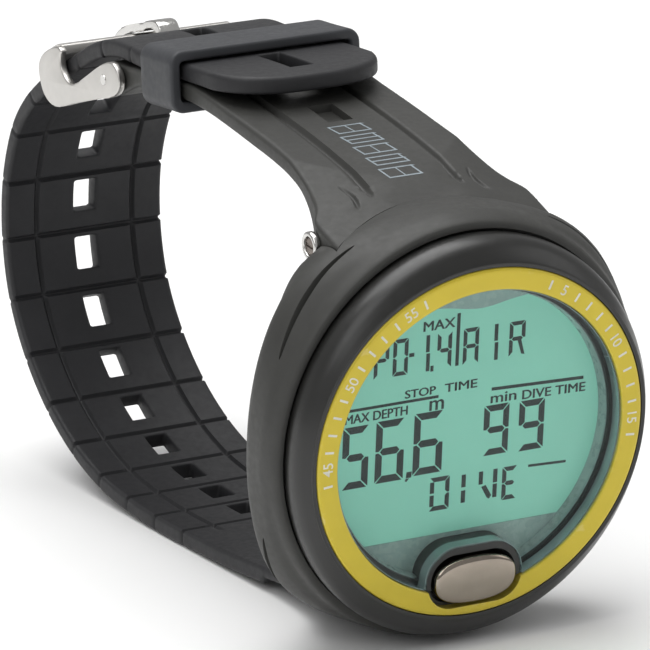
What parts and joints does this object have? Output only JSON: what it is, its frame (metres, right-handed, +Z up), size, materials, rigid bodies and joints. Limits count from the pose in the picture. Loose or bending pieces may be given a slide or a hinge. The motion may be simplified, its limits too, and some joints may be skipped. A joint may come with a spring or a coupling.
{
  "type": "dive computer",
  "caption": "Round wrist dive computer with a recessed display, yellow bezel ring, one push button and a buckled rubber strap.",
  "frame": {"origin": "centre of the bounding box's footprint, on the surface the object stands on", "axes": "+Z up, the display looks along -Y and slightly down, +X is the three o'clock side, the strap loop runs back along +Y"},
  "size_m": [0.0646, 0.1422, 0.0829],
  "materials": {
    "case_black": "satin black moulded plastic",
    "guard_grey": "soft matt dark grey elastomer",
    "ring_yellow": "yellow anodised, fine turned grain",
    "crystal_clear": "clear, polished",
    "seal_black": "smooth nitrile",
    "display_mask": "grey-green printed mask",
    "lcd_glass": "reflective teal liquid crystal panel",
    "lcd_ink": "dark liquid crystal segments",
    "light_acrylic": "frosted acrylic",
    "zebra_rubber": "striped conductive rubber",
    "frame_white": "white moulded plastic",
    "board_green": "solder-masked laminate",
    "contact_gold": "gold-plated spring sheet",
    "holder_black": "black moulded plastic",
    "cell_steel": "stamped nickel-plated steel",
    "sensor_steel": "drawn stainless can",
    "piezo_brass": "brass disc",
    "plate_black": "fine spark-textured black plastic",
    "screw_steel": "stainless screw",
    "cover_black": "black plastic with coin slot",
    "button_metal": "brown-grey polished metal",
    "stem_steel": "ground stainless",
    "spring_steel": "drawn spring wire",
    "pin_steel": "ground stainless",
    "lug_screw_steel": "polished stainless",
    "strap_black": "soft matt black elastomer",
    "strap_grey": "soft matt dark grey elastomer",
    "buckle_steel": "bead-blasted and polished stainless sheet",
    "keeper_black": "soft matt black elastomer"
  },
  "bodies": {
    "computer_and_strap": {"case_body": "case_black", "outer_guard": "guard_grey", "bezel_ring": "ring_yellow", "crystal": "crystal_clear", "crystal_gasket": "seal_black", "display_frame": "display_mask", "lcd_panel": "lcd_glass", "lcd_segments": "lcd_ink", "light_guide": "light_acrylic", "zebra_connectors": "zebra_rubber", "module_frame": "frame_white", "circuit_board": "board_green", "button_switch": "contact_gold", "battery_holder": "holder_black", "battery_contact": "contact_gold", "battery": "cell_steel", "pressure_sensor": "sensor_steel", "piezo_buzzer": "piezo_brass", "back_gasket": "seal_black", "back_plate": "plate_black", "sensor_port": "sensor_steel", "back_screws": "screw_steel", "button_spring": "spring_steel", "button_oring": "seal_black", "upper_lug_pin": "pin_steel", "lower_lug_pin": "pin_steel", "upper_lug_screws": "lug_screw_steel", "lower_lug_screws": "lug_screw_steel", "strap_long": "strap_black", "strap_short": "strap_grey"},
    "cover_seal": {"cover_oring": "seal_black"},
    "battery_cover": {"battery_cover": "cover_black"},
    "button": {"button_cap": "button_metal", "button_stem": "stem_steel", "button_clip": "spring_steel"},
    "buckle": {"buckle_frame": "buckle_steel", "buckle_pin": "pin_steel"},
    "tongue": {"buckle_tongue": "buckle_steel"},
    "keeper": {"keeper_loop": "keeper_black"}
  },
  "joints": [
    {"name": "button_press", "type": "slide", "parent": "computer_and_strap", "child": "button", "axis": [0, 0.9919, 0.1267], "range_m": [0, 0.0008], "stiffness_N_per_m": 900, "springref_m": -0.0008, "deforming": ["button_spring"]},
    {"name": "cover_lift", "type": "slide", "parent": "computer_and_strap", "child": "cover_seal", "axis": [0, 0.9919, 0.1267], "range_m": [0, 0.002]},
    {"name": "cover_turn", "type": "hinge", "parent": "cover_seal", "child": "battery_cover", "pos_m": [0, -0.04773, 0.03549], "axis": [0, 0.9919, 0.1267], "range_deg": [0, 720.5]},
    {"name": "buckle_swing", "type": "hinge", "parent": "computer_and_strap", "child": "buckle", "pos_m": [0, 0.02554, 0.07358], "axis": [1, 0, 0], "range_deg": [0, 6]},
    {"name": "tongue_swing", "type": "hinge", "parent": "buckle", "child": "tongue", "pos_m": [0, 0.02554, 0.07358], "axis": [1, 0, 0], "range_deg": [0, 8]},
    {"name": "keeper_slide", "type": "slide", "parent": "computer_and_strap", "child": "keeper", "axis": [0, 0.9991, -0.0414], "range_m": [-0.001, 0.0045]}
  ],
  "couplings": [
    {"joint": "cover_turn", "follows": "cover_lift", "rad_per_m": 6283.2}
  ]
}
